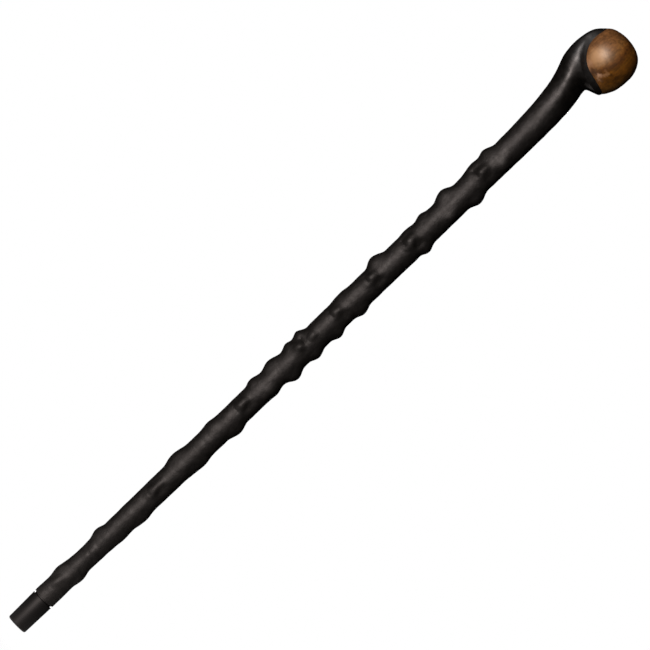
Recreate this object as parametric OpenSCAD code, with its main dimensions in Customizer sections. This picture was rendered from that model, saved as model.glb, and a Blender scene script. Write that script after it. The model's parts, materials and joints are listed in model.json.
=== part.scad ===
// Shillelagh: a knotted black walking stick with a burl knob let into its swept neck
// and a rubber ferrule on a turned spigot.
// The stick stands along +Z with the middle of its foot at the origin.
// The neck leans to -X, the knob faces +X, and the front is -Y.

/* [Shaft] */
// Length of the knotted shaft, from its shoulder to where the neck starts
shaft_len = 718; // [640:1:780]
// Diameter of the shaft at its shoulder
shoulder_d = 26.4; // [25:0.1:30]
// Diameter at the narrowest place, a hand's width above the shoulder
waist_d = 24; // [23:0.1:28]
// Diameter at the top of the shaft, where the neck starts
neck_d = 32; // [29:0.1:35]
// Sideways bow of the shaft
bow = 1.6; // [0:0.1:4]

/* [Knots] */
// Height of the tallest knot above the shaft
knot_rise = 5; // [2:0.1:7]
// Length of an ordinary knot, from its crest to its foot
knot_reach = 13; // [8:0.1:18]
// Half of the angle that a knot covers round the shaft
knot_spread = 60; // [40:1:80]

/* [Neck and knob] */
// Length of the neck, from the top of the shaft to the underside of the knob
neck_len = 108.6; // [95:0.1:125]
// Width of the knob across the stick
knob_d = 64.4; // [56:0.1:72]
// Thickness of the knob from front to back
knob_t = 59.4; // [52:0.1:66]
// Sideways place of the knob's middle from the top of the shaft
knob_shift = 3.9; // [1:0.1:8]
// Gap filled with glue between the knob and its seat
glue_gap = 0.15; // [0.05:0.01:0.4]

/* [Knob stud] */
// Outside diameter of the stud's thread
stud_d = 8; // [6:0.1:10]
// Depth of the stud's thread
thread_depth = 0.6; // [0.3:0.05:1]
// Distance from one thread to the next
thread_pitch = 1.25; // [0.8:0.05:2]
// Radial room for glue round the stud
stud_room = 0.1; // [0.05:0.01:0.3]
// Depth of the hole for the stud in the neck
neck_hole = 24; // [18:0.5:28]
// Depth of the hole for the stud in the knob
knob_hole = 26; // [18:0.5:32]
// Room at each end of the stud
stud_end_room = 0.5; // [0.2:0.1:2]
// Lean of the stud from the stick's axis, in degrees
stud_lean = 22; // [15:1:30]

/* [Ferrule] */
// Height of the ferrule
ferrule_len = 40.2; // [34:0.1:45]
// Outside diameter at the ferrule's mouth
ferrule_mouth_d = 26.4; // [25:0.1:30]
// Outside diameter at the ferrule's foot
ferrule_foot_d = 24.8; // [23.5:0.1:28]
// Rounding of the foot's edge
foot_round = 2; // [0.5:0.1:2.5]
// Rounding of the mouth's edge
mouth_round = 0.8; // [0.2:0.1:1.2]
// Thickness of rubber under the washer
sole = 6.5; // [5:0.1:9]
// Number of tread grooves in the sole
tread_count = 3; // [1:1:4]
// Width of a tread groove
tread_w = 1.2; // [0.6:0.1:1.6]
// Depth of a tread groove
tread_depth = 1.4; // [0.5:0.1:2]
// Open gap between the ferrule's mouth and the shaft's shoulder
open_gap = 2.1; // [1.5:0.1:6]

/* [Spigot and washer] */
// Diameter of the turned spigot that carries the ferrule
spigot_d = 20; // [18:0.1:21]
// Diameter of the spigot's root, which shows in the open gap and stops the ferrule
root_d = 23.2; // [20.5:0.1:24]
// Chamfer at the end of the spigot
spigot_chamfer = 1; // [0.3:0.1:2]
// Radial running clearance between spigot and ferrule
spigot_clearance = 0.05; // [0.02:0.01:0.1]
// Thickness of the steel washer in the ferrule
washer_t = 1.5; // [1:0.1:2.5]
// Hole in the middle of the washer
washer_hole_d = 6; // [3:0.1:10]
// Radial room round the washer
washer_room = 0.1; // [0.05:0.01:0.3]
// Gap between the washer and the end of the spigot
end_gap = 0.1; // [0.05:0.01:0.5]
// Gap between the ferrule's mouth and the spigot's root
mouth_gap = 0.3; // [0.1:0.05:0.6]

/* [Hidden] */

// Number of points round the swept form
sides = 24;
// Spacing of the rings along the shaft, as a share of the length of a knot
ring_step_share = 0.42;
// Number of rings from one station of the neck to the next
rings_per_station = 4;
// Number of rings on the knob, from its rim to its pole
knob_rings = 18;
// Points on a quarter of a rounded edge
round_steps = 6;
$fn = 64;

// Heights of the seats and shoulders, from the foot up
washer_z = sole;
spigot_end_z = washer_z + washer_t + end_gap;
shoulder_z = ferrule_len + open_gap;
neck_z = shoulder_z + shaft_len;
neck_r = neck_d / 2;
knob_r = knob_d / 2;
knob_z = neck_z + neck_len + knob_r;

// The overrun carries the spigot into the shaft and every cut past its face
overrun = spigot_chamfer;

// Girth of the shaft from its waist to its top: place along the shaft, share of the way from waist to top
waist_share = 0.0875;
girth_shares = [
    [waist_share, 0], [0.16, 0.28], [0.25, 0.44], [0.43, 0.58], [0.59, 0.75], [0.76, 0.9],
    [0.85, 0.84], [0.93, 0.84], [1, 1]
];

// Bow of the shaft's axis: place along the shaft, share of the bow
bow_shares = [[0, -0.15], [0.1, 0.3], [0.25, 0.7], [0.43, 1], [0.6, 0.75], [0.85, 0.9], [1, 0.7]];

// Knots: place along the shaft, bearing in degrees, then shares of the knot's height,
// of its length below the crest and of its length above the crest.
// Bearing 180 is the neck's side, 0 the knob's side, 270 the front and 90 the back.
left_knot_shares = [
    [0.047, 180, 0.46, 1.10, 1.80], [0.130, 180, 0.56, 1.00, 0.95], [0.293, 180, 0.62, 1.30, 1.75],
    [0.367, 180, 0.34, 0.90, 0.95], [0.459, 180, 0.50, 0.80, 1.10], [0.498, 180, 0.68, 1.10, 1.25],
    [0.538, 182, 0.66, 0.90, 0.80], [0.560, 178, 0.92, 0.80, 0.85], [0.650, 180, 0.26, 1.50, 1.20],
    [0.722, 180, 1.05, 1.10, 1.35], [0.789, 180, 0.20, 1.00, 0.90],
    [0.822, 180, 0.48, 0.80, 0.80], [0.870, 180, 1.06, 1.35, 1.10],
    [0.934, 180, 0.60, 1.60, 1.10], [0.958, 178, 0.88, 0.90, 1.15]
];
right_knot_shares = [
    [0.062, 0, 0.46, 1.10, 1.00], [0.152, 0, 0.20, 1.10, 0.85], [0.195, 0, 0.40, 1.35, 1.25],
    [0.320, 0, 0.44, 2.20, 0.95], [0.392, 0, 0.72, 1.20, 1.10], [0.473, 0, 0.18, 0.90, 0.70],
    [0.492, 0, -0.34, 0.80, 0.70], [0.513, 0, 0.94, 0.90, 1.10], [0.559, 0, 0.76, 0.85, 1.00],
    [0.606, 0, 0.78, 0.90, 0.85], [0.656, 0, 0.70, 0.90, 1.05], [0.793, 0, 0.74, 0.80, 0.90],
    [0.902, 0, 0.88, 1.10, 1.15]
];
front_knot_shares = [
    [0.026, 246, 0.26, 0.60, 1.20], [0.100, 268, 0.24, 0.90, 0.90], [0.231, 256, 0.44, 0.60, 1.30],
    [0.419, 252, 0.46, 0.60, 1.20], [0.457, 296, 0.26, 0.60, 0.60], [0.471, 304, 0.40, 0.90, 0.90],
    [0.548, 246, 0.60, 0.80, 0.60], [0.576, 248, 0.32, 0.60, 0.90], [0.621, 250, 0.50, 0.60, 1.10],
    [0.696, 252, 0.54, 0.60, 1.20], [0.778, 262, 0.62, 0.60, 1.10], [0.854, 306, 0.54, 0.90, 1.10],
    [0.931, 262, 0.58, 0.60, 1.20], [0.968, 302, 0.46, 0.90, 0.85]
];
back_knot_shares = [
    [0.034, 108, 0.40, 0.90, 1.20], [0.104, 74, 0.50, 0.90, 1.00], [0.172, 118, 0.44, 1.00, 1.20],
    [0.238, 80, 0.52, 0.80, 1.20], [0.304, 104, 0.46, 0.90, 1.00], [0.357, 62, 0.56, 0.80, 1.10],
    [0.428, 116, 0.60, 0.80, 1.10], [0.484, 84, 0.66, 0.90, 1.00], [0.530, 108, 0.58, 0.80, 0.90],
    [0.586, 70, 0.64, 0.80, 1.10], [0.636, 112, 0.56, 0.90, 1.10], [0.690, 82, 0.70, 0.80, 1.20],
    [0.748, 114, 0.60, 0.90, 1.00], [0.806, 68, 0.66, 0.80, 1.20], [0.852, 102, 0.56, 0.90, 1.00],
    [0.906, 78, 0.66, 0.80, 1.10], [0.952, 112, 0.52, 0.90, 1.00]
];
// Knots on the front and back cover less of the shaft's round than those at its sides
face_spread_share = 0.6;
knot_shares = concat(
    [for (row = concat(left_knot_shares, right_knot_shares)) concat(row, 1)],
    [for (row = concat(front_knot_shares, back_knot_shares)) concat(row, face_spread_share)]
);

// Stations of the neck: height and reach of its outer edge, its front and its inner edge, then its depth.
// Heights are shares of the neck's length above the shaft, reaches and depths shares of its radius.
neck_shares = [
    [0.00, -1.00, 0.00, 0.00, 0.00, 1.00, 1.00],
    [0.26, -1.07, 0.28, -0.04, 0.30, 1.00, 1.03],
    [0.49, -1.20, 0.54, -0.14, 0.57, 0.94, 1.05],
    [0.68, -1.39, 0.73, -0.31, 0.75, 0.81, 1.08],
    [0.84, -1.68, 0.87, -0.53, 0.87, 0.65, 1.12]
];

// Stations of the palm that cradles the knob, as it fans out from the crotch round the knob's middle.
// Each has the bearing and reach of its outer edge, its front and its inner edge, then its depth,
// how round its section is, where 1 is an ellipse and less is squarer, and how much deeper its inner
// half is than its middle.
// Bearings are in degrees from the top towards the neck's side, reaches are shares of the knob's radius
// and depths are shares of half of its thickness.
palm_shares = [
    [132, 1.54, 158, 1.22, 190, 1.31, 0.627, 0.65, -0.05],
    [113, 1.32, 151, 1.03, 201, 1.27, 0.66, 0.50, -0.08],
    [93, 1.19, 145, 0.95, 208, 1.275, 0.65, 0.45, -0.05],
    [71, 1.11, 140, 0.88, 212, 1.27, 0.631, 0.48, 0.02]
];

// The rim where the palm meets the knob: bearings of its outer and inner ends and how far its front
// stands up on the knob's face, all in degrees, then how round it is and how much higher its inner
// half is than its middle
rim_bearings = [50, 215];
rim_rise = 35.5;
rim_round_share = 0.65;
rim_lean_share = 0.08;
// Deepest point of the knob's seat in the palm, where the stud crosses it
seat_shares = [-0.65, -0.48];
// Swellings of the burl: bearing and spread in degrees, and share of the knob's radius
burl_shares = [[208, 42, 0.25], [355, 45, -0.065], [50, 30, 0.04]];
// How far the tread grooves sit outwards of an even spacing
tread_shift_share = 0.25;

// Small functions for the swept form
function mix(a, b, share) = a + (b - a) * share;
function bell(u) = abs(u) >= 1 ? 0 : pow(1 - u * u, 2);
function turn_between(a, b) = abs((a - b + 540) % 360 - 180);
function ring_angle(j) = 360 * j / sides;

// Shaft: girth, bow and knots at a place along it
function girth(place) = place < waist_share
    ? mix(shoulder_d, waist_d, (1 - cos(180 * place / waist_share)) / 2) / 2
    : mix(waist_d, neck_d, lookup(place, girth_shares)) / 2;
function axis_x(place) = bow * (lookup(place, bow_shares) - bow_shares[0][1]);
function knot_height(place, bearing, row) =
    let (away = (place - row[0]) * shaft_len / knot_reach)
    knot_rise * row[2] * bell(away / (away < 0 ? row[3] : row[4]))
        * bell(turn_between(bearing, row[1]) / (knot_spread * row[5]));
function knots_near(place) = [
    for (row = knot_shares)
        let (away = (place - row[0]) * shaft_len / knot_reach)
        if (away > -row[3] && away < row[4]) row
];
function sum(list, i = 0) = i < len(list) ? list[i] + sum(list, i + 1) : 0;
function shaft_ring(place) =
    let (near = knots_near(place))
    [
        for (j = [0 : sides - 1])
            let (
                bearing = (180 + ring_angle(j)) % 360,
                r = girth(place) + sum([for (row = near) knot_height(place, bearing, row)])
            )
            [axis_x(place) + r * cos(bearing), r * sin(bearing), shoulder_z + place * shaft_len]
    ];

// Neck and palm: a ring of each station is an arch through its outer edge, its front and its inner edge,
// and the same again behind
neck_x = axis_x(1);
knob_x = neck_x + knob_shift;
function arch(outer, front, inner, j) =
    let (middle = (outer + inner) / 2)
    middle + (outer - inner) / 2 * cos(ring_angle(j)) + (front - middle) * pow(sin(ring_angle(j)), 2);
function arch_of(row, j) = arch([row[0], row[1]], [row[2], row[3]], [row[4], row[5]], j);
function depth_at(round_share, lean_share, j) =
    let (s = sin(ring_angle(j)))
    sign(s) * pow(abs(s), round_share) * (1 - lean_share * cos(ring_angle(j)));
function neck_ring(row) = [
    for (j = [0 : sides - 1])
        let (p = arch_of(row, j))
        [neck_x + p[1] * neck_r, -row[6] * neck_r * depth_at(1, 0, j), neck_z + p[0] * neck_len]
];
function palm_ring(row) = [
    for (j = [0 : sides - 1])
        let (p = arch_of(row, j), reach = p[1] * knob_r)
        [
            knob_x - reach * sin(p[0]),
            -row[6] * knob_t / 2 * depth_at(row[7], row[8], j),
            knob_z + reach * cos(p[0])
        ]
];

// Knob: a slightly flattened ball with the swellings of its burl, and the rim of the palm on its face
knob_middle = [knob_x, 0, knob_z];
function direction(bearing, height) =
    [-cos(height) * sin(bearing), -sin(height), cos(height) * cos(bearing)];
function knob_reach_at(way) =
    let (
        flat = knob_t / knob_d,
        ball = knob_r / sqrt(way[0] * way[0] + way[2] * way[2] + way[1] * way[1] / (flat * flat)),
        swell = [for (row = burl_shares) row[2] * bell(acos(way * direction(row[0], 0)) / row[1])]
    )
    ball * (1 + sum(swell));
function rim_way(j) = direction(
    mix(rim_bearings[0], rim_bearings[1], (1 - cos(ring_angle(j))) / 2),
    rim_rise * depth_at(rim_round_share, rim_lean_share, j)
);
knob_pole = -direction((rim_bearings[0] + rim_bearings[1]) / 2, 0);
function between(a, b, share) =
    let (turn = acos(a * b))
    (sin((1 - share) * turn) * a + sin(share * turn) * b) / sin(turn);
function knob_ring(share) = [
    for (j = [0 : sides - 1])
        let (way = between(rim_way(j), knob_pole, share))
        knob_middle + knob_reach_at(way) * way
];
seat = [knob_x + seat_shares[1] * knob_r, 0, knob_z + seat_shares[0] * knob_r];

// All rings that the neck passes through, and a smooth curve from one to the next
stations = concat(
    [for (row = neck_shares) neck_ring(row)],
    [for (row = palm_shares) palm_ring(row)],
    [knob_ring(0)]
);
last_at = len(stations) - 1;
function smooth_ring(at) =
    let (
        i = min(floor(at), last_at - 1),
        u = at - i,
        before = stations[max(i - 1, 0)],
        from = stations[i],
        to = stations[i + 1],
        after = stations[min(i + 2, last_at)]
    )
    0.5 * (2 * from + (to - before) * u + (2 * before - 5 * from + 4 * to - after) * u * u
        + (3 * from - 3 * to + after - before) * u * u * u);

// Faces of a stack of rings: the wall, a flat lower end and a pointed end
function wall_faces(rings) = [
    for (i = [0 : rings - 2], j = [0 : sides - 1])
        let (
            a = i * sides + j,
            b = i * sides + (j + 1) % sides,
            c = a + sides,
            d = b + sides
        )
        each [[a, c, d], [a, d, b]]
];
function flat_start() = [[for (j = [0 : sides - 1]) j]];
function pointed_start(tip) = [for (j = [0 : sides - 1]) [j, (j + 1) % sides, tip]];
function pointed_end(rings, tip) = [
    for (j = [0 : sides - 1])
        [(rings - 1) * sides + (j + 1) % sides, (rings - 1) * sides + j, tip]
];
function joined(rings) = [for (ring = rings) each ring];

// Stud and its hole lie along one leaning line through the seat.
// The hole runs from its bottom in the neck to its bottom in the knob, and is cut in both.
module along_stud() {
    translate(seat) rotate([0, stud_lean, 0]) children();
}
module stud_hole() {
    along_stud() translate([0, 0, -neck_hole])
        cylinder(d = stud_d + 2 * stud_room, h = neck_hole + knob_hole);
}

// Knotted shaft with its neck and the seat for the knob, in one piece with the spigot
module shaft() {
    steps = ceil(shaft_len / (knot_reach * ring_step_share));
    rings = concat(
        [for (i = [0 : steps - 1]) shaft_ring(i / steps)],
        [for (i = [0 : last_at * rings_per_station]) smooth_ring(i / rings_per_station)]
    );
    points = concat(joined(rings), [seat]);
    color("#151412") difference() {
        union() {
            polyhedron(
                points,
                concat(flat_start(), wall_faces(len(rings)), pointed_end(len(rings), len(points) - 1)),
                convexity = 6
            );
            spigot();
        }
        stud_hole();
    }
}
module spigot() {
    translate([0, 0, spigot_end_z])
        cylinder(d1 = spigot_d - 2 * spigot_chamfer, d2 = spigot_d, h = spigot_chamfer);
    translate([0, 0, spigot_end_z + spigot_chamfer])
        cylinder(d = spigot_d, h = shoulder_z - spigot_end_z - spigot_chamfer + overrun);
    translate([0, 0, ferrule_len + mouth_gap])
        cylinder(d = root_d, h = open_gap - mouth_gap + overrun);
}

// Burl knob, glued into its seat over the stud
module knob() {
    rings = [for (i = [0 : knob_rings - 1]) knob_ring(i / knob_rings)];
    points = concat(joined(rings), [seat, knob_middle + knob_reach_at(knob_pole) * knob_pole]);
    clear = glue_gap * [sin(stud_lean), 0, cos(stud_lean)];
    color("#7a4a22") difference() {
        translate(clear) polyhedron(
            points,
            concat(
                pointed_start(len(points) - 2),
                wall_faces(len(rings)),
                pointed_end(len(rings), len(points) - 1)
            ),
            convexity = 6
        );
        stud_hole();
    }
}

// Threaded steel stud that holds the knob on the neck
module knob_stud() {
    length = neck_hole + knob_hole - 2 * stud_end_room;
    turns = floor(length / thread_pitch);
    margin = (length - turns * thread_pitch) / 2;
    root_r = stud_d / 2 - thread_depth;
    profile = concat(
        [[0, 0], [root_r, 0]],
        [
            for (i = [0 : turns - 1])
                each [[root_r, margin + i * thread_pitch], [stud_d / 2, margin + (i + 0.5) * thread_pitch]]
        ],
        [[root_r, length - margin], [root_r, length], [0, length]]
    );
    color("#9a9a98") along_stud() translate([0, 0, stud_end_room - neck_hole])
        rotate_extrude() polygon(profile);
}

// Rubber ferrule that pulls off the spigot downwards
function arc(middle, r, from, to) = [
    for (i = [0 : round_steps])
        let (a = mix(from, to, i / round_steps))
        middle + r * [cos(a), sin(a)]
];
module ferrule() {
    foot_r = ferrule_foot_d / 2;
    mouth_r = ferrule_mouth_d / 2;
    bore_r = spigot_d / 2 + spigot_clearance;
    tread_pitch = (foot_r - foot_round) / (tread_count + 1);
    outline = concat(
        [[0, 0]],
        arc([foot_r - foot_round, foot_round], foot_round, -90, 0),
        arc([mouth_r - mouth_round, ferrule_len - mouth_round], mouth_round, 0, 90),
        [[bore_r, ferrule_len], [bore_r, washer_z], [0, washer_z]]
    );
    color("#1c1b1a") difference() {
        rotate_extrude() polygon(outline);
        for (i = [1 : tread_count]) tread_groove((i + tread_shift_share) * tread_pitch);
    }
}
module tread_groove(r) {
    rotate_extrude() translate([r - tread_w / 2, -overrun]) square([tread_w, tread_depth + overrun]);
}

// Steel washer that keeps the spigot from punching through the sole
module ferrule_washer() {
    color("#8d8d8b") translate([0, 0, washer_z]) difference() {
        cylinder(d = spigot_d + 2 * spigot_clearance - 2 * washer_room, h = washer_t);
        translate([0, 0, -overrun]) cylinder(d = washer_hole_d, h = washer_t + 2 * overrun);
    }
}

shaft();
knob();
knob_stud();
ferrule();
ferrule_washer();
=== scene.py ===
import json
import math

import bmesh
import bpy
from mathutils import Matrix, Vector
from mathutils.kdtree import KDTree


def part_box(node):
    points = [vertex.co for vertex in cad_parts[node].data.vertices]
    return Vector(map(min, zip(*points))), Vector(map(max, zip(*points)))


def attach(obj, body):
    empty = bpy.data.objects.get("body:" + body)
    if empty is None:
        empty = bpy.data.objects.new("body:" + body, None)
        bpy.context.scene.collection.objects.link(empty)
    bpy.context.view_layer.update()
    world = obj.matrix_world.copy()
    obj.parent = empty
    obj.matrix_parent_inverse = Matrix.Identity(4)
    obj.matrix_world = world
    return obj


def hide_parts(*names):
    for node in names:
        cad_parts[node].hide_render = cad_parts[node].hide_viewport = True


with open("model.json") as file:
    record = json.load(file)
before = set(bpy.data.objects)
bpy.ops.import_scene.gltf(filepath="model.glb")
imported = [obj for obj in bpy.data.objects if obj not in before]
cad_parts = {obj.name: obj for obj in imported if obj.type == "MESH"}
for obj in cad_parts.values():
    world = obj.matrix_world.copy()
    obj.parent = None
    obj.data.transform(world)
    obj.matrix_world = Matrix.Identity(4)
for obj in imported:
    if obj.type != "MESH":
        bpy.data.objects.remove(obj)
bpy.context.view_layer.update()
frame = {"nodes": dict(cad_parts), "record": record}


# Shaft: one knotted stick of hardwood, carved in one piece with its swept neck and the palm that
# cradles the knob. It is stained and lacquered satin black, and its foot is turned down to a spigot.
mm = 0.001
_, ferrule_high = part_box("ferrule")
open_gap = 2.1 * mm
shoulder_z = ferrule_high.z + open_gap
# Edges below this height belong to the turned spigot and stay crisp. So does every edge past the angle.
spigot_top = shoulder_z - 0.1 * mm
crisp_angle = math.radians(60)
# CAD points this close together are one, and neighbouring triangles within the angle pair up into quads.
weld_gap = 0.01 * mm
pair_angle = math.radians(120)
# Subdividing pulls a skin inside its points, so the points are first moved out in a few rounds.
skin_rounds = 3
shaft_skin_levels = 2
shaft_shade_angle = math.radians(50)
# The hand-finished surface swells and dips a little, a thumb's width at a time.
hand_swell = 0.75 * mm
hand_swell_size = 13 * mm
hand_swell_middle = 0.24
# About the radius of the shaft and half the width of the palm, in mm, to find their skins from outside.
shaft_radius = 15
palm_half = 18
# Cuts left by the knife at the feet of the knots: height up the stick, place across it, width and depth,
# in mm. A place across is along the stick's own X on both sides.
front_cuts = [
    (56.5, -3.6, 5, 0.8),
    (113, -0.8, 6, 0.7),
    (205, -3.6, 6, 1.2),
    (338.5, -3, 8, 1.4),
    (443.5, -6.3, 7, 1.5),
    (485.5, -4.5, 7, 1.4),
    (540.5, -5, 7, 1.5),
    (597, -5, 7, 1.5),
    (707, -6, 8, 1.5),
]
cut_length = 0.5 * mm
cut_fade = 5 * mm
# Buds that stand proud beside the cuts, and hollows with a negative rise: height, place across, length
# and rise, in mm.
front_swells = [
    (68, -3, 8, 0.6),
    (220, -2.2, 9, 0.9),
    (219.5, 5.5, 7, -0.9),
    (308, -8, 3, 0.8),
    (350, -2.6, 8, 0.9),
    (353, 5.5, 6, -1.0),
    (371.8, 6.9, 2, -1.0),
    (437, -2.5, 2, 1.0),
    (455, -3, 4, 0.8),
    (495, -2.5, 5, 0.9),
    (498, 6.5, 4, -1.1),
    (549, -3.6, 5, 1.2),
    (550.5, 6, 6, -1.2),
    (608, -3.8, 6, 1.4),
    (609.5, 6.5, 6, -1.5),
    (716.5, -3.5, 7, 1.2),
    (716, 4.5, 6, -0.9),
]
swell_width = 2 * mm
swell_fade = 7 * mm
# The knots on the back are finished alike: height and place across, in mm, each with a cut a little below
# it and a bud on it.
back_knots = [
    (67, -4.3), (117, 3.9), (166, -6.6), (213, 2.4), (261, -3.4), (299, 6.6), (350, -6.1), (390, 1.5),
    (423, -4.3), (463, 4.8), (499, -5.2), (538, 1.9), (579, -5.7), (621, 5.2), (654, -2.9), (693, 2.9),
    (726, -5.2),
]
back_cut_drop = 7
back_cut_width = 6 * mm
back_cut_depth = 1.4 * mm
back_bud_length = 5 * mm
back_bud_rise = 0.9 * mm
# Both sides of the palm are left full where the neck runs into it: place along X, height, radius and
# rise, in mm.
palm_swells = [
    (-25, 889, 12, 0.4),
    (-24.3, 875.8, 17, 1),
    (-17.9, 865, 22, 2),
    (-12.9, 851.1, 20, 1.7),
    (-7.3, 838, 24, 1.5),
]


def copy_of(node, name):
    """A new piece from a CAD node: its loose triangles merged and paired into a skin of quads."""
    bpy.ops.object.select_all(action="DESELECT")
    piece = bpy.data.objects.new(name, frame["nodes"][node].data.copy())
    bpy.context.collection.objects.link(piece)
    piece.select_set(True)
    bpy.context.view_layer.objects.active = piece
    piece.data.materials.clear()
    bpy.ops.mesh.customdata_custom_splitnormals_clear()
    bpy.ops.object.mode_set(mode="EDIT")
    bpy.ops.mesh.select_all(action="SELECT")
    bpy.ops.mesh.remove_doubles(threshold=weld_gap)
    bpy.ops.mesh.tris_convert_to_quads(
        face_threshold=pair_angle, shape_threshold=pair_angle, topology_influence=2
    )
    bpy.ops.object.mode_set(mode="OBJECT")
    return piece


def select_by(piece, kind, test):
    """Selects the vertices, edges or faces of a piece whose place passes the test, in edit mode."""
    bpy.ops.object.mode_set(mode="EDIT")
    bpy.ops.mesh.select_mode(type=kind)
    bpy.ops.mesh.select_all(action="DESELECT")
    bpy.ops.object.mode_set(mode="OBJECT")
    mesh = piece.data
    if kind == "VERT":
        for vertex in mesh.vertices:
            vertex.select = test(vertex.co)
    if kind == "EDGE":
        for edge in mesh.edges:
            edge.select = all(test(mesh.vertices[i].co) for i in edge.vertices)
    if kind == "FACE":
        for face in mesh.polygons:
            face.select = test(face.center, face.normal)
    bpy.ops.object.mode_set(mode="EDIT")


def smooth_skin(piece, levels):
    """Subdivides a piece into a smooth skin that still passes through the points it started from."""
    places = [vertex.co.copy() for vertex in piece.data.vertices]
    skin = piece.modifiers.new("skin", "SUBSURF")
    skin.levels = levels
    skin.render_levels = levels
    for _ in range(skin_rounds):
        piece.data.update()
        seen = piece.evaluated_get(bpy.context.evaluated_depsgraph_get()).data
        for vertex, place, on_skin in zip(piece.data.vertices, places, seen.vertices):
            vertex.co += place - on_skin.co
    piece.data.update()
    bpy.ops.object.modifier_apply(modifier=skin.name)


def points_of(piece):
    """A search tree over the points of a piece's skin."""
    points = KDTree(len(piece.data.vertices))
    for vertex in piece.data.vertices:
        points.insert(vertex.co, vertex.index)
    points.balance()
    return points


def press(piece, points, middle, width, length, depth, fade, falloff):
    """Presses an oval of a piece's skin towards the stick's axis. The dent fades out round the oval."""
    touched, nearest, _ = points.find(middle)
    skin = bmesh.from_edit_mesh(piece.data).verts
    skin.ensure_lookup_table()
    bpy.ops.mesh.select_all(action="DESELECT")
    skin[nearest].select = True
    for place, index, _ in points.find_range(touched, max(width, length)):
        off = place - touched
        if math.hypot(2 * off.x / width, 2 * off.z / length) < 1:
            skin[index].select = True
    bpy.ops.transform.translate(
        value=Vector((-touched.x, -touched.y, 0)).normalized() * depth,
        use_proportional_edit=True,
        proportional_edit_falloff=falloff,
        proportional_size=fade,
    )


def swell(piece, points, place, push, radius):
    """Pushes a piece's skin at the point nearest to a place. The swelling fades out at the radius."""
    _, nearest, _ = points.find(place)
    skin = bmesh.from_edit_mesh(piece.data).verts
    skin.ensure_lookup_table()
    bpy.ops.mesh.select_all(action="DESELECT")
    skin[nearest].select = True
    bpy.ops.transform.translate(
        value=push,
        use_proportional_edit=True,
        use_proportional_connected=True,
        proportional_edit_falloff="SMOOTH",
        proportional_size=radius,
    )


def on_side(height, across, side):
    """A point just off the skin of the shaft's front, where side is -1, or of its back, where it is 1."""
    return Vector((across, side * math.sqrt(shaft_radius**2 - across**2), height)) * mm


shaft = copy_of("shaft", "knotted_shaft")
bpy.ops.object.mode_set(mode="EDIT")
bpy.ops.mesh.select_mode(type="EDGE")
bpy.ops.mesh.select_all(action="DESELECT")
bpy.ops.mesh.edges_select_sharp(sharpness=crisp_angle)
bpy.ops.mesh.mark_sharp()
bpy.ops.transform.edge_crease(value=1)
bpy.ops.object.mode_set(mode="OBJECT")
select_by(shaft, "EDGE", lambda co: co.z < spigot_top)
bpy.ops.transform.edge_crease(value=1)
bpy.ops.object.mode_set(mode="OBJECT")
smooth_skin(shaft, shaft_skin_levels)
# The knife cuts, the buds and the full palm.
shaft_points = points_of(shaft)
bpy.ops.object.mode_set(mode="EDIT")
bpy.ops.mesh.select_mode(type="VERT")
for height, across, width, depth in front_cuts:
    place = on_side(height, across, -1)
    press(shaft, shaft_points, place, width * mm, cut_length, depth * mm, cut_fade, "SHARP")
for height, across, length, rise in front_swells:
    place = on_side(height, across, -1)
    press(shaft, shaft_points, place, swell_width, length * mm, -rise * mm, swell_fade, "SMOOTH")
for height, across in back_knots:
    place = on_side(height - back_cut_drop, across, 1)
    press(shaft, shaft_points, place, back_cut_width, cut_length, back_cut_depth, cut_fade, "SHARP")
    place = on_side(height, across, 1)
    press(shaft, shaft_points, place, swell_width, back_bud_length, -back_bud_rise, swell_fade, "SMOOTH")
for across, height, radius, rise in palm_swells:
    for side in (-1, 1):
        place = Vector((across, side * palm_half, height)) * mm
        swell(shaft, shaft_points, place, Vector((0, side * rise, 0)) * mm, radius * mm)
bpy.ops.object.mode_set(mode="OBJECT")
# The waviness that the hand leaves, above the turned spigot.
select_by(shaft, "VERT", lambda co: co.z > shoulder_z)
bpy.ops.object.vertex_group_assign_new()
bpy.ops.object.mode_set(mode="OBJECT")
swells = bpy.data.textures.new("hand_swells", "CLOUDS")
swells.noise_scale = hand_swell_size
waviness = shaft.modifiers.new("waviness", "DISPLACE")
waviness.texture = swells
waviness.texture_coords = "LOCAL"
waviness.strength = hand_swell
waviness.mid_level = hand_swell_middle
waviness.vertex_group = shaft.vertex_groups[0].name
bpy.ops.object.modifier_apply(modifier=waviness.name)
bpy.ops.object.shade_smooth_by_angle(angle=shaft_shade_angle)
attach(shaft, "stick")
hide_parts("shaft")
# The lacquer lies in slow waves. The grain's pores are drawn coarser than real ones, so that they show.
mottle_size = 6 * mm
mottle_height = 0.6 * mm
grain_size = 0.9 * mm
grain_stretch = 0.08
grain_height = 0.15 * mm
# Up the neck the lacquer is rubbed smoother, and twice as much on the side under the knob.
polish_low = 790 * mm
polish_high = 860 * mm
polish_gain = 0.15
crook_left = -8 * mm
crook_right = 4 * mm
# The palm's top has one more coat.
coat_low = 862 * mm
coat_high = 890 * mm
coat_most = 0.75


def linear(hex_colour):
    """An sRGB hex colour as linear red, green, blue and alpha."""
    shares = [int(hex_colour[i : i + 2], 16) / 255 for i in (1, 3, 5)]
    return [c / 12.92 if c <= 0.04045 else ((c + 0.055) / 1.055) ** 2.4 for c in shares] + [1]


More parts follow.
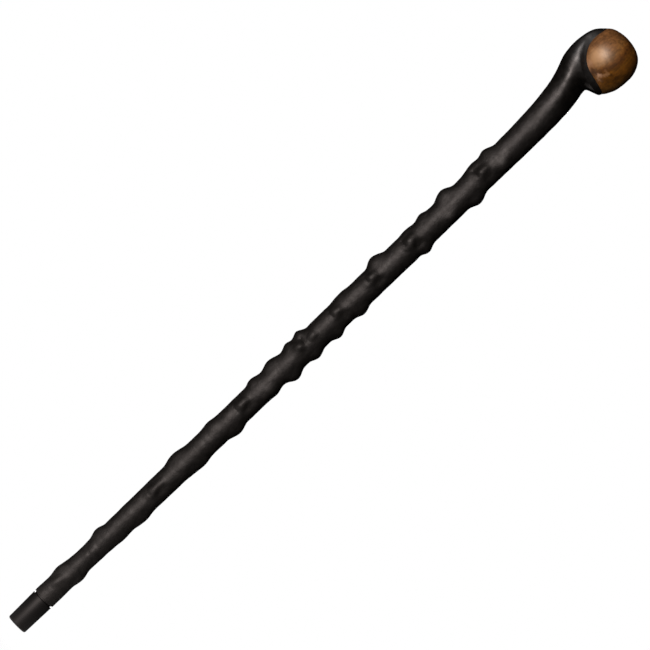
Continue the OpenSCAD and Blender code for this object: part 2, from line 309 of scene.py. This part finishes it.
def add(tree, kind, inputs, stops=(), **settings):
    """A shader node with its settings. An input is a plain value or another node's output.

    The stops of a colour ramp are pairs of a place from 0 to 1 and a hex colour.
    """
    node = tree.nodes.new("ShaderNode" + kind)
    for name, value in settings.items():
        setattr(node, name, value)
    for i, (place, colour) in enumerate(stops):
        stop = node.color_ramp.elements[i] if i < 2 else node.color_ramp.elements.new(place)
        stop.position = place
        stop.color = linear(colour)
    for socket, value in inputs.items():
        if isinstance(value, bpy.types.NodeSocket):
            tree.links.new(value, node.inputs[socket])
        else:
            node.inputs[socket].default_value = value
    return node


def new_material(name):
    """An empty node material, with its tree and the Principled shader that is its surface."""
    material = bpy.data.materials.new(name)
    material.use_nodes = True
    tree = material.node_tree
    return material, tree, tree.nodes["Principled BSDF"]


def black_lacquered_wood():
    """Hardwood under thin satin black lacquer: the grain and pores still show as faint relief.

    The neck and the palm were sanded finer than the knotted shaft, so their sheen is tighter.
    """
    material, tree, surface = new_material("satin_black_lacquer_on_hardwood")
    place = add(tree, "TexCoord", {}).outputs["Object"]
    mottle = add(
        tree, "TexNoise", {"Vector": place, "Scale": 1 / mottle_size, "Detail": 4, "Roughness": 0.6}
    )
    along = add(tree, "Mapping", {"Vector": place, "Scale": (1, 1, grain_stretch)})
    grain = add(tree, "TexNoise", {"Vector": along.outputs[0], "Scale": 1 / grain_size, "Detail": 3})
    colour = add(
        tree, "ValToRGB", {"Fac": mottle.outputs["Fac"]}, stops=[(0.3, "#080706"), (0.75, "#100d0b")]
    )
    parts = add(tree, "SeparateXYZ", {"Vector": place})
    polish = add(
        tree,
        "MapRange",
        {"Value": parts.outputs["Z"], "From Min": polish_low, "From Max": polish_high},
        interpolation_type="SMOOTHSTEP",
    )
    crook = add(
        tree,
        "MapRange",
        {"Value": parts.outputs["X"], "From Min": crook_left, "From Max": crook_right},
        interpolation_type="SMOOTHSTEP",
    )
    rubbed = add(
        tree,
        "Math",
        {0: polish.outputs["Result"], 1: crook.outputs["Result"], 2: polish.outputs["Result"]},
        operation="MULTIPLY_ADD",
    )
    matt = add(
        tree,
        "MapRange",
        {"Value": mottle.outputs["Fac"], "From Min": 0.3, "From Max": 0.7, "To Min": 0.53, "To Max": 0.64},
    )
    gloss = add(
        tree,
        "Math",
        {0: rubbed.outputs[0], 1: -polish_gain, 2: matt.outputs["Result"]},
        operation="MULTIPLY_ADD",
    )
    calm = add(tree, "MapRange", {"Value": polish.outputs["Result"], "To Min": 1, "To Max": 0.3})
    coat = add(
        tree,
        "MapRange",
        {"Value": parts.outputs["Z"], "From Min": coat_low, "From Max": coat_high, "To Max": coat_most},
        interpolation_type="SMOOTHSTEP",
    )
    waves = add(
        tree,
        "Bump",
        {"Height": mottle.outputs["Fac"], "Strength": calm.outputs["Result"], "Distance": mottle_height},
    )
    relief = add(
        tree,
        "Bump",
        {
            "Height": grain.outputs["Fac"],
            "Strength": 0.25,
            "Distance": grain_height,
            "Normal": waves.outputs["Normal"],
        },
    )
    tree.links.new(colour.outputs["Color"], surface.inputs["Base Color"])
    tree.links.new(gloss.outputs[0], surface.inputs["Roughness"])
    tree.links.new(relief.outputs["Normal"], surface.inputs["Normal"])
    tree.links.new(coat.outputs["Result"], surface.inputs["Coat Weight"])
    surface.inputs["Coat Roughness"].default_value = 0.52
    surface.inputs["Specular IOR Level"].default_value = 0.5
    surface.inputs["Specular Tint"].default_value = linear("#fff0ea")
    return material


shaft.data.materials.append(black_lacquered_wood())


# Knob stud: a length of threaded rod in plain steel, its thread rolled and not cut. It is glued half into
# the neck and half into the knob, where it doesn't show.
smear_size = 2 * mm


def rolled_steel():
    """Bright rolled steel, its gloss a little uneven from the rollers."""
    material, tree, surface = new_material("rolled_steel")
    place = add(tree, "TexCoord", {}).outputs["Object"]
    smear = add(tree, "TexNoise", {"Vector": place, "Scale": 1 / smear_size, "Detail": 3})
    gloss = add(tree, "MapRange", {"Value": smear.outputs["Fac"], "To Min": 0.25, "To Max": 0.42})
    tree.links.new(gloss.outputs["Result"], surface.inputs["Roughness"])
    surface.inputs["Base Color"].default_value = linear("#b9b7b2")
    surface.inputs["Metallic"].default_value = 1
    return material


steel = rolled_steel()
stud = frame["nodes"]["knob_stud"]
stud.data.materials.clear()
stud.data.materials.append(steel)


# Knob: a ball turned from brown burl, let into the palm over the stud and glued there. It is oiled and
# polished, and its edge along the palm's rim is crisp.
knob_low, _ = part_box("knob")
knob_middle = Vector(next(m["pos_m"] for m in frame["record"]["mounts"] if m["name"] == "grip"))
glue_line = 0.3 * mm
inside_seat = 28 * mm
knob_skin_levels = 3
knob_shade_angle = math.radians(40)
# The free side is rounded out below the middle by a row of swells across it that overlap by half: their
# depths, place along X and height, in mm.
full_side_depths = [-14, -7, 0, 7, 14]
full_side_x = 33.5
full_side_z = 886.6
full_side_radius = 14 * mm
full_side_push = Vector((0.8, 0, -0.17)) * mm
neck_points = [v.co for v in frame["nodes"]["shaft"].data.vertices if v.co.z > knob_low.z - glue_line]
seat_rim = KDTree(len(neck_points))
for i, point in enumerate(neck_points):
    seat_rim.insert(point, i)
seat_rim.balance()


def on_rim(co):
    """Whether a point of the knob lies on the edge where the palm's rim meets it."""
    return seat_rim.find(co)[2] < glue_line and (co - knob_middle).length > inside_seat


knob = copy_of("knob", "burl_knob")
select_by(knob, "EDGE", on_rim)
bpy.ops.mesh.mark_sharp()
bpy.ops.transform.edge_crease(value=1)
bpy.ops.object.mode_set(mode="OBJECT")
smooth_skin(knob, knob_skin_levels)
knob_points = points_of(knob)
bpy.ops.object.mode_set(mode="EDIT")
for depth in full_side_depths:
    place = Vector((full_side_x, depth, full_side_z)) * mm
    swell(knob, knob_points, place, full_side_push, full_side_radius)
bpy.ops.object.mode_set(mode="OBJECT")
bpy.ops.object.shade_smooth_by_angle(angle=knob_shade_angle)
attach(knob, "stick")
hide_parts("knob")
# The growth rings: the line that they lie round, how far they go and how far they wave.
ring_middle = knob_middle + Vector((-30, 0, 6)) * mm
ring_flatness = 0.25
ring_span = 63 * mm
ring_wave = 12 * mm
ring_wave_size = 9 * mm
# The colours darken towards the outer rings, on the side away from the key light: partly the burl's own,
# partly painted shade.
ring_and_shade_colours = [
    (0.0, "#70482a"),
    (0.2, "#744a28"),
    (0.33, "#764b26"),
    (0.42, "#754a24"),
    (0.52, "#744a20"),
    (0.6, "#6a3e12"),
    (0.645, "#4c2806"),
    (0.69, "#5a3206"),
    (0.75, "#6a3f08"),
    (0.8, "#623806"),
    (0.9, "#573204"),
    (1.0, "#5c3a10"),
]
# The hairy grain is drawn coarser than real fibres, so that it shows. Clouds and buds have their real size.
hair_size = 2.2 * mm
hair_stretch = 0.16
hair_height = 0.2 * mm
cloud_size = 5 * mm
bud_spacing = 6 * mm
bud_cluster_size = 16 * mm
# Pale and dark patches in the burl's colour: middle, inner and outer radius, share of the patch's colour,
# and that colour. Their edges are smeared. The pale ones are painted highlight: the key light's sheen on
# the face, a second glint below it and the lit edge by the palm. The dark one at the top is painted shade.
painted_light_patches = [
    (knob_middle + Vector((-9.6, -26.5, -8)) * mm, 3 * mm, 16 * mm, 0.8, "#bb8b60"),
    (knob_middle + Vector((-10.9, -19, -20.3)) * mm, 1 * mm, 10 * mm, 0.6, "#b58564"),
    (knob_middle + Vector((6.2, -21.1, -21.6)) * mm, 0.5 * mm, 6 * mm, 0.85, "#bd8e6e"),
    (knob_middle + Vector((10, -23.9, -16.1)) * mm, 0.5 * mm, 5 * mm, 0.6, "#b08058"),
    (knob_middle + Vector((-9, -8, 29)) * mm, 4 * mm, 18 * mm, 0.5, "#2c190a"),
]
patch_smear = 14 * mm
patch_smear_size = 7 * mm


def polished_burl():
    """Burl has broad, wavy growth rings, a fine hairy grain and dark buds. Oil and wax give a soft gloss.

    The rings lie round a line beside the knob's middle, and a ragged dark one crosses the knob's face. They
    darken towards the far side, partly as painted shade, and pale and dark patches are painted highlight
    and shade.
    """
    material, tree, surface = new_material("polished_burl")
    place = add(tree, "TexCoord", {}).outputs["Object"]
    from_rings = add(tree, "Mapping", {"Vector": place, "Location": -ring_middle})
    flat = add(
        tree, "VectorMath", {0: from_rings.outputs[0], 1: (1, ring_flatness, 1)}, operation="MULTIPLY"
    )
    out = add(tree, "VectorMath", {0: flat.outputs[0]}, operation="LENGTH")
    wave = add(
        tree, "TexNoise", {"Vector": place, "Scale": 1 / ring_wave_size, "Detail": 6, "Roughness": 0.72}
    )
    waved = add(
        tree,
        "Math",
        {0: wave.outputs["Fac"], 1: ring_wave, 2: out.outputs["Value"]},
        operation="MULTIPLY_ADD",
    )
    ring = add(
        tree,
        "MapRange",
        {"Value": waved.outputs[0], "From Min": 0.5 * ring_wave, "From Max": ring_span + 0.5 * ring_wave},
    )
    rings = add(tree, "ValToRGB", {"Fac": ring.outputs["Result"]}, stops=ring_and_shade_colours)
    fibres = add(tree, "Mapping", {"Vector": place, "Scale": (1, 1, hair_stretch)})
    hair = add(tree, "TexNoise", {"Vector": fibres.outputs[0], "Scale": 1 / hair_size, "Detail": 5})
    clouds = add(tree, "TexNoise", {"Vector": place, "Scale": 1 / cloud_size, "Detail": 3})
    shade = add(
        tree,
        "MapRange",
        {"Value": hair.outputs["Fac"], "From Min": 0.3, "From Max": 0.7, "To Min": 0.66, "To Max": 1.3},
    )
    cloud = add(
        tree,
        "MapRange",
        {"Value": clouds.outputs["Fac"], "From Min": 0.35, "From Max": 0.65, "To Min": 0.78, "To Max": 1.2},
    )
    depth = add(
        tree, "Math", {0: shade.outputs["Result"], 1: cloud.outputs["Result"]}, operation="MULTIPLY"
    )
    grained = add(
        tree, "VectorMath", {0: rings.outputs["Color"], "Scale": depth.outputs[0]}, operation="SCALE"
    )
    smear = add(tree, "TexNoise", {"Vector": place, "Scale": 1 / patch_smear_size, "Detail": 4})
    off_middle = add(
        tree, "VectorMath", {0: smear.outputs["Color"], 1: (0.5, 0.5, 0.5)}, operation="SUBTRACT"
    )
    ragged = add(
        tree,
        "VectorMath",
        {0: off_middle.outputs[0], 1: (patch_smear, patch_smear, patch_smear), 2: place},
        operation="MULTIPLY_ADD",
    )
    patched = grained.outputs[0]
    # Painted highlight and painted shade: the pale and dark patches laid over the grain.
    for middle, inner, outer, share, colour in painted_light_patches:
        off_patch = add(tree, "VectorMath", {0: ragged.outputs[0], 1: middle}, operation="DISTANCE")
        in_patch = add(
            tree,
            "MapRange",
            {
                "Value": off_patch.outputs["Value"],
                "From Min": inner,
                "From Max": outer,
                "To Min": share,
                "To Max": 0,
            },
            interpolation_type="SMOOTHSTEP",
        )
        patched = add(
            tree, "Mix", {0: in_patch.outputs["Result"], 6: patched, 7: linear(colour)}, data_type="RGBA"
        ).outputs[2]
    cells = add(tree, "TexVoronoi", {"Vector": place, "Scale": 1 / bud_spacing, "Randomness": 1})
    bud = add(
        tree,
        "MapRange",
        {"Value": cells.outputs["Distance"], "From Min": 0.08, "From Max": 0.3, "To Min": 0.8, "To Max": 0},
    )
    clusters = add(tree, "TexNoise", {"Vector": place, "Scale": 1 / bud_cluster_size, "Detail": 1})
    cluster = add(tree, "MapRange", {"Value": clusters.outputs["Fac"], "From Min": 0.5, "From Max": 0.62})
    dark = add(tree, "Math", {0: bud.outputs["Result"], 1: cluster.outputs["Result"]}, operation="MULTIPLY")
    budded = add(tree, "Mix", {0: dark.outputs[0], 6: patched, 7: linear("#351a06")}, data_type="RGBA")
    gloss = add(
        tree,
        "MapRange",
        {"Value": wave.outputs["Fac"], "From Min": 0.3, "From Max": 0.7, "To Min": 0.45, "To Max": 0.55},
    )
    relief = add(tree, "Bump", {"Height": hair.outputs["Fac"], "Strength": 0.15, "Distance": hair_height})
    tree.links.new(budded.outputs[2], surface.inputs["Base Color"])
    tree.links.new(gloss.outputs["Result"], surface.inputs["Roughness"])
    tree.links.new(relief.outputs["Normal"], surface.inputs["Normal"])
    surface.inputs["Coat Weight"].default_value = 0.5
    surface.inputs["Coat Roughness"].default_value = 0.45
    surface.inputs["Specular Tint"].default_value = linear("#ffe0c0")
    return material


knob.data.materials.append(polished_burl())


# Ferrule washer: a disc stamped from bright sheet steel. It lies at the bottom of the ferrule's bore, so
# that the spigot doesn't punch through the rubber sole.
washer = frame["nodes"]["ferrule_washer"]
washer.data.materials.clear()
washer.data.materials.append(steel)


# Ferrule: a cup moulded in black rubber, slightly tapered, pushed on to the spigot. Round tread grooves
# in its sole grip the ground, and its edges are rounded by the mould.
ferrule_sides = 96
ferrule_len = ferrule_high.z
mouth_radius = ferrule_high.x
foot_radius = 12.4 * mm
bore_radius = 10.05 * mm
sole = 6.5 * mm
foot_round = 2 * mm
foot_round_steps = 8
mouth_round = 0.8 * mm
mouth_round_steps = 5
bore_round = 0.2 * mm
bore_round_steps = 3
tread_radii = [8.45 * mm, 5.85 * mm, 3.25 * mm]
tread_width = 1.2 * mm
tread_depth = 1.4 * mm
ferrule_shade_angle = math.radians(40)
# A point this near to an edge lies on it, and a face whose normal is this steep is level.
near = 0.05 * mm
level_normal = 0.9


def out_from_axis(co):
    """Distance of a point from the stick's axis."""
    return math.hypot(co.x, co.y)


def on_foot_edge(co):
    """Whether a point lies on the outer edge of the sole."""
    return co.z < near and foot_radius - out_from_axis(co) < near


def on_mouth_edge(co):
    """Whether a point lies on the outer edge of the mouth."""
    return co.z > ferrule_len - near and mouth_radius - out_from_axis(co) < near


def on_bore_edge(co):
    """Whether a point lies on the edge of the bore at the mouth."""
    return co.z > ferrule_len - near and out_from_axis(co) - bore_radius < near


def in_tread(middle, normal):
    """Whether a face of the sole is part of a ring that becomes a groove."""
    off_rings = [abs(out_from_axis(middle) - radius) for radius in tread_radii]
    return normal.z < -level_normal and min(off_rings) < tread_width / 3


bpy.ops.object.select_all(action="DESELECT")
bpy.ops.mesh.primitive_cylinder_add(
    vertices=ferrule_sides, radius=foot_radius, depth=ferrule_len, location=(0, 0, ferrule_len / 2)
)
ferrule = bpy.context.object
ferrule.name = "rubber_ferrule"
bpy.ops.object.transform_apply(location=True, rotation=True, scale=True)
# The mouth is widened and the bore sunk from it.
select_by(ferrule, "FACE", lambda middle, normal: normal.z > level_normal)
taper = mouth_radius / foot_radius
bpy.ops.transform.resize(value=(taper, taper, 1))
bpy.ops.mesh.inset(thickness=mouth_radius - bore_radius)
bpy.ops.mesh.extrude_region_move(TRANSFORM_OT_translate={"value": (0, 0, sole - ferrule_len)})
# The sole is ringed, and every second ring is pushed up as a tread groove.
select_by(ferrule, "FACE", lambda middle, normal: normal.z < -level_normal)
ring_edge = foot_radius
for radius in tread_radii:
    for groove_edge in (radius + tread_width / 2, radius - tread_width / 2):
        bpy.ops.mesh.inset(thickness=ring_edge - groove_edge)
        ring_edge = groove_edge
select_by(ferrule, "FACE", in_tread)
bpy.ops.mesh.extrude_region_move(TRANSFORM_OT_translate={"value": (0, 0, tread_depth)})
# The edges are rounded, from the foot up.
select_by(ferrule, "EDGE", on_foot_edge)
bpy.ops.mesh.bevel(offset=foot_round, segments=foot_round_steps)
select_by(ferrule, "EDGE", on_mouth_edge)
bpy.ops.mesh.bevel(offset=mouth_round, segments=mouth_round_steps)
select_by(ferrule, "EDGE", on_bore_edge)
bpy.ops.mesh.bevel(offset=bore_round, segments=bore_round_steps)
bpy.ops.object.mode_set(mode="OBJECT")
bpy.ops.object.shade_smooth_by_angle(angle=ferrule_shade_angle)
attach(ferrule, "ferrule")
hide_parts("ferrule")
# The speckle of the blasted mould is drawn coarser than its grit, so that it shows.
speckle_size = 0.8 * mm
speckle_height = 0.1 * mm


def moulded_rubber():
    """Black rubber from a blasted mould: matte and a little dusty, with a fine even speckle."""
    material, tree, surface = new_material("moulded_black_rubber")
    place = add(tree, "TexCoord", {}).outputs["Object"]
    speckle = add(tree, "TexNoise", {"Vector": place, "Scale": 1 / speckle_size, "Detail": 2})
    relief = add(
        tree, "Bump", {"Height": speckle.outputs["Fac"], "Strength": 0.2, "Distance": speckle_height}
    )
    tree.links.new(relief.outputs["Normal"], surface.inputs["Normal"])
    surface.inputs["Base Color"].default_value = linear("#080707")
    surface.inputs["Roughness"].default_value = 0.52
    surface.inputs["Specular IOR Level"].default_value = 0.33
    surface.inputs["Specular Tint"].default_value = linear("#fff0ea")
    return material


ferrule.data.materials.append(moulded_rubber())


# Floor: a round sheet of matt white paper, below the lowest place of the ferrule. It keeps the stick's soft
# shadow, and fades into the white of the studio further out.
floor_z = -60 * mm
floor_sides = 96
floor_radius = 600 * mm
paper_radius = 120 * mm
fade_radius = 500 * mm
paper_glow = 0.5
bpy.ops.object.select_all(action="DESELECT")
bpy.ops.mesh.primitive_circle_add(
    vertices=floor_sides, radius=floor_radius, fill_type="NGON", location=(0, 0, floor_z)
)
floor = bpy.context.object
floor.name = "floor"


def white_for_the_eye(tree):
    """1 for rays from the camera, a mirror or glass, which see the plain white studio."""
    path = add(tree, "LightPath", {})
    seen = add(
        tree,
        "Math",
        {0: path.outputs["Is Camera Ray"], 1: path.outputs["Is Glossy Ray"]},
        operation="MAXIMUM",
    )
    return add(
        tree, "Math", {0: seen.outputs[0], 1: path.outputs["Is Transmission Ray"]}, operation="MAXIMUM"
    ).outputs[0]


def pale_floor():
    """Matt white paper, a little brighter to the eye than the lamps alone would make it."""
    material, tree, surface = new_material("pale_paper")
    place = add(tree, "TexCoord", {}).outputs["Object"]
    away = add(tree, "VectorMath", {0: place}, operation="LENGTH")
    fade = add(
        tree,
        "MapRange",
        {"Value": away.outputs["Value"], "From Min": paper_radius, "From Max": fade_radius},
        interpolation_type="SMOOTHSTEP",
    )
    bright = add(tree, "MapRange", {"Value": white_for_the_eye(tree), "To Max": paper_glow})
    tree.links.new(bright.outputs["Result"], surface.inputs["Emission Strength"])
    surface.inputs["Base Color"].default_value = linear("#efefee")
    surface.inputs["Roughness"].default_value = 0.9
    surface.inputs["Specular IOR Level"].default_value = 0
    clear = add(tree, "BsdfTransparent", {})
    mixed = add(tree, "MixShader", {0: fade.outputs["Result"], 1: surface.outputs[0], 2: clear.outputs[0]})
    tree.links.new(mixed.outputs[0], tree.nodes["Material Output"].inputs["Surface"])
    return material


floor.data.materials.append(pale_floor())


# Light: a large softbox in front of the stick and to the neck's side, a small one straight behind it for
# the far side, and a little light from all round. The small one lies on the camera's line to the head, so
# that no edge catches it, and black flags all round keep the white studio out of the lacquer.
round_light = 0.06
light_aim = (0, 0, 0.6)
flag_sides = 48
flag_radius = 4.5
flag_height = 4
flag_middle_z = 1.9
world = bpy.data.worlds.new("studio")
bpy.context.scene.world = world
world.use_nodes = True
world.cycles.sampling_method = "NONE"
sky = world.node_tree.nodes["Background"]
sky_white = add(
    world.node_tree,
    "MapRange",
    {"Value": white_for_the_eye(world.node_tree), "To Min": round_light, "To Max": 1},
)
world.node_tree.links.new(sky_white.outputs["Result"], sky.inputs["Strength"])
sky.inputs["Color"].default_value = (1, 1, 1, 1)


def softbox(name, place, width, length, power):
    """A rectangular area lamp at a place, turned to the stick, its length along the stick."""
    lamp = bpy.data.lights.new(name, "AREA")
    lamp.shape = "RECTANGLE"
    lamp.size = width
    lamp.size_y = length
    lamp.energy = power
    box = bpy.data.objects.new(name, lamp)
    bpy.context.collection.objects.link(box)
    box.location = place
    box.rotation_euler = (Vector(light_aim) - Vector(place)).to_track_quat("-Z", "Y").to_euler()
    box.visible_camera = False


bpy.ops.object.select_all(action="DESELECT")
bpy.ops.mesh.primitive_cylinder_add(
    vertices=flag_sides,
    radius=flag_radius,
    depth=flag_height,
    end_fill_type="NGON",
    location=(0, 0, flag_middle_z),
)
flags = bpy.context.object
flags.name = "black_flags"
flags.visible_camera = False
flags.visible_diffuse = False
velvet, _, velvet_surface = new_material("black_velvet")
velvet_surface.inputs["Base Color"].default_value = linear("#050505")
velvet_surface.inputs["Specular IOR Level"].default_value = 0
flags.data.materials.append(velvet)
softbox("key_softbox", place=(-1.45, -3.18, 0.85), width=1.1, length=0.9, power=122)
softbox("back_softbox", place=(0, 4.2, 1.2), width=0.5, length=0.25, power=160)


# Camera: a long lens in front of the stick that looks along +Y. It is turned so that the stick runs from
# lower left to upper right.
image_lean = math.radians(44.04)
aim = Vector((-1.19 * mm, 0, 473.3 * mm))
distance = 6
frame_width = 715 * mm
lens = bpy.data.cameras.new("camera")
camera = bpy.data.objects.new("camera", lens)
bpy.context.collection.objects.link(camera)
right = Vector((math.sin(image_lean), 0, math.cos(image_lean)))
back = Vector((0, -1, 0))
up = back.cross(right)
turn = Matrix((right, up, back)).transposed()
camera.matrix_world = Matrix.Translation(aim + back * distance) @ turn.to_4x4()
lens.sensor_width = 36
lens.lens = lens.sensor_width * distance / frame_width
bpy.context.scene.camera = camera
bpy.context.scene.view_settings.view_transform = "Standard"
